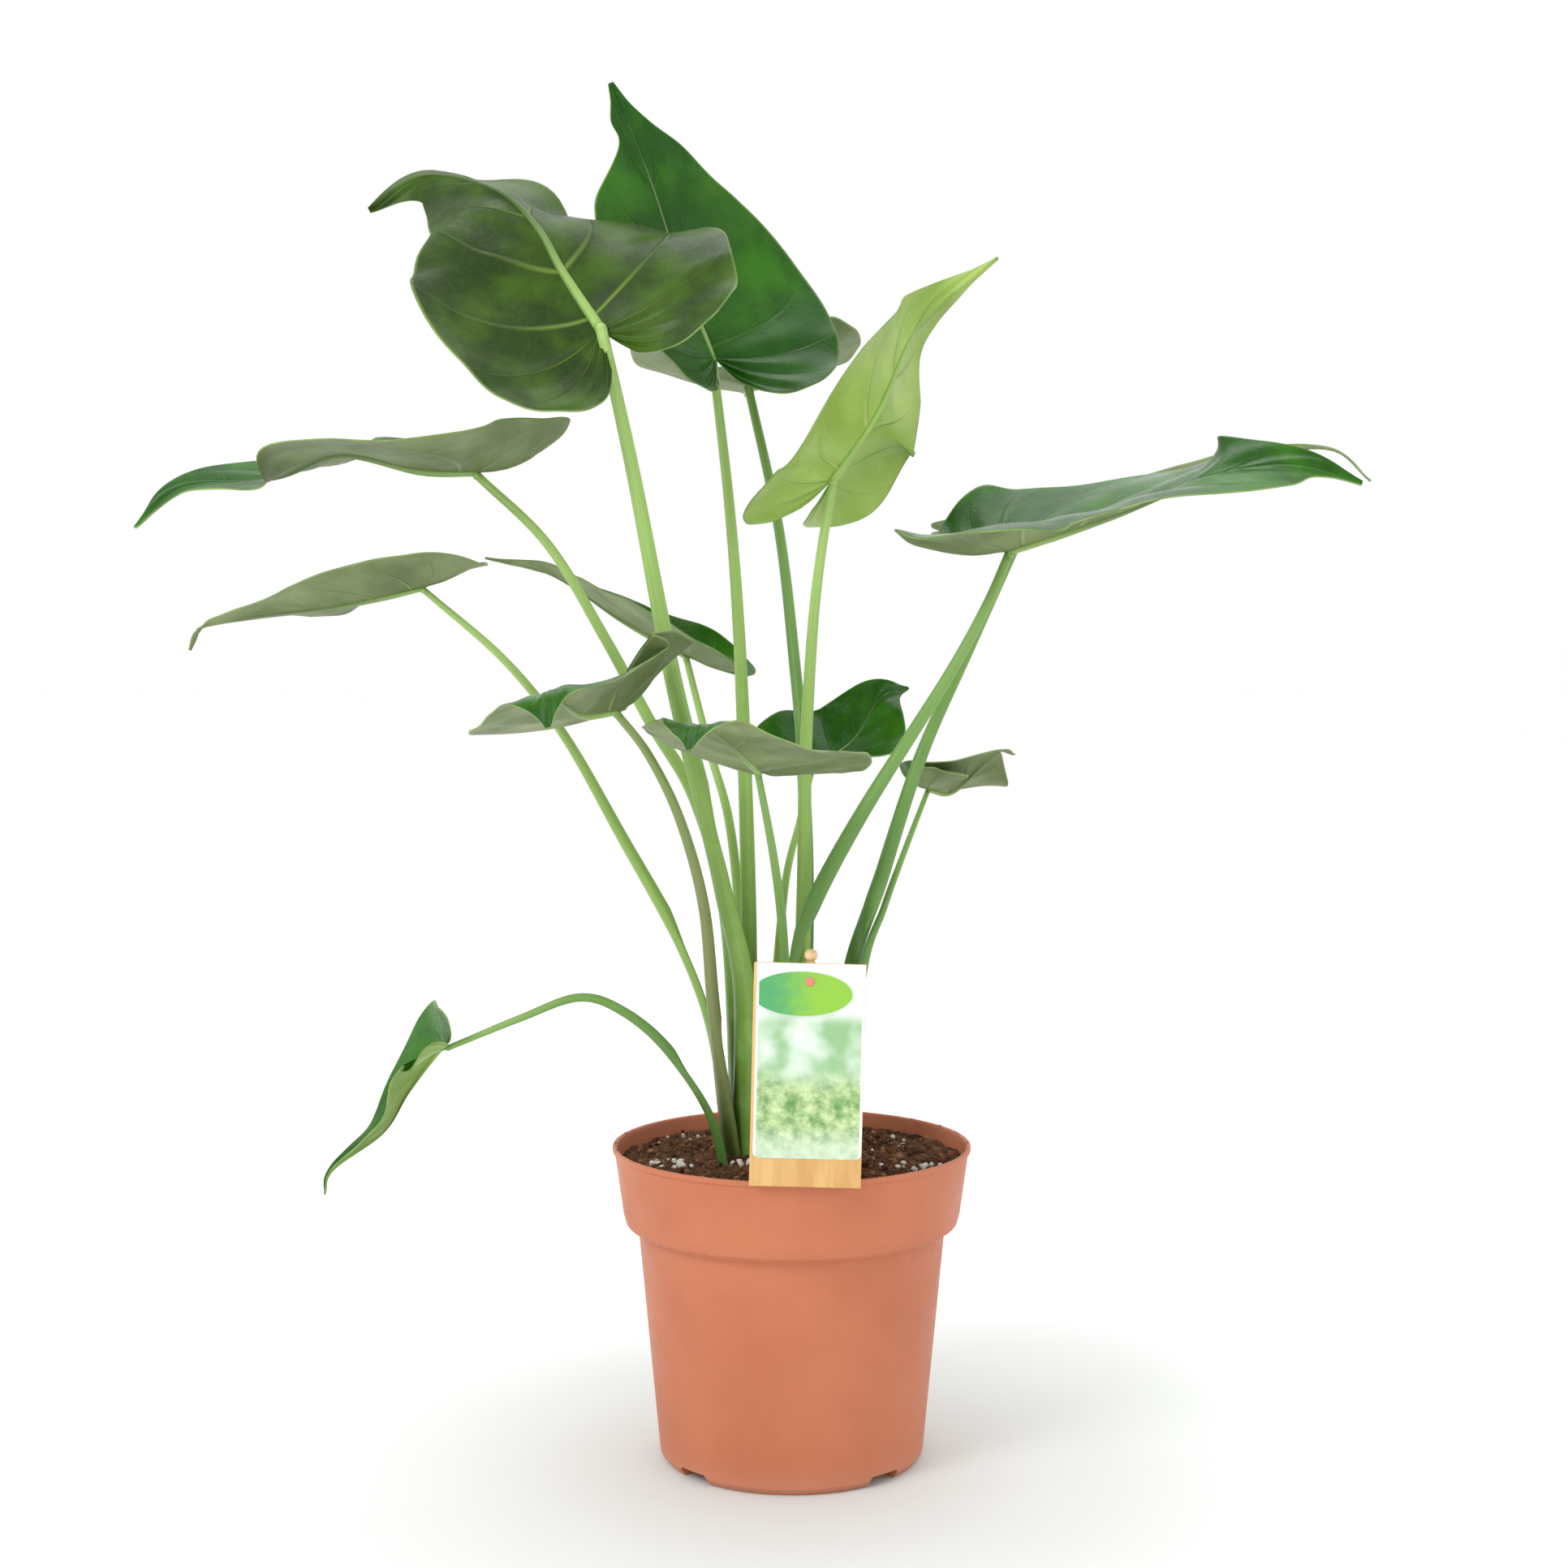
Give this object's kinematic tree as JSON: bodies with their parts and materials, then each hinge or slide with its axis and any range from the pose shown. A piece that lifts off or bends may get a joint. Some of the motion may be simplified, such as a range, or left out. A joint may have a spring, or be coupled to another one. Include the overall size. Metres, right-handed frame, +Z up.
{
  "type": "potted alocasia",
  "caption": "Free-standing potted foliage plant with large heart-shaped leaves on tall stalks, in a round plastic nursery pot with a plant label.",
  "frame": {"origin": "centre of the pot's base, on the ground", "axes": "+Z up out of the pot, -Y towards the label side, +X to the right of someone facing the label"},
  "size_m": [0.7179, 0.4576, 0.8088],
  "materials": {
    "pot_plastic": "satin moulded terracotta-coloured plastic",
    "compost": "damp fibrous potting compost",
    "corm": "rough skin",
    "leaf": "glossy above, matt below",
    "young_leaf": "satin",
    "stalk": "satin",
    "card": "thin board with a plain printed panel",
    "stick_wood": "turned, unvarnished",
    "rivet": "satin"
  },
  "bodies": {
    "root": {"pot": "pot_plastic", "soil": "compost", "corm_main": "corm", "corm_right": "corm", "corm_offset": "corm", "blade_01": "leaf", "blade_02": "leaf", "blade_03": "leaf", "blade_04": "young_leaf", "blade_05": "leaf", "blade_06": "leaf", "blade_07": "leaf", "blade_08": "leaf", "blade_09": "leaf", "blade_10": "leaf", "blade_11": "leaf", "blade_12": "leaf", "blade_13": "leaf", "blade_14": "leaf", "petiole_01": "stalk", "petiole_02": "stalk", "petiole_03": "stalk", "petiole_04": "stalk", "petiole_05": "stalk", "petiole_06": "stalk", "petiole_07": "stalk", "petiole_08": "stalk", "petiole_09": "stalk", "petiole_10": "stalk", "petiole_11": "stalk", "petiole_12": "stalk", "petiole_13": "stalk", "petiole_14": "stalk", "tag_card": "card", "tag_stick": "stick_wood", "tag_rivet": "rivet"}
  },
  "joints": []
}
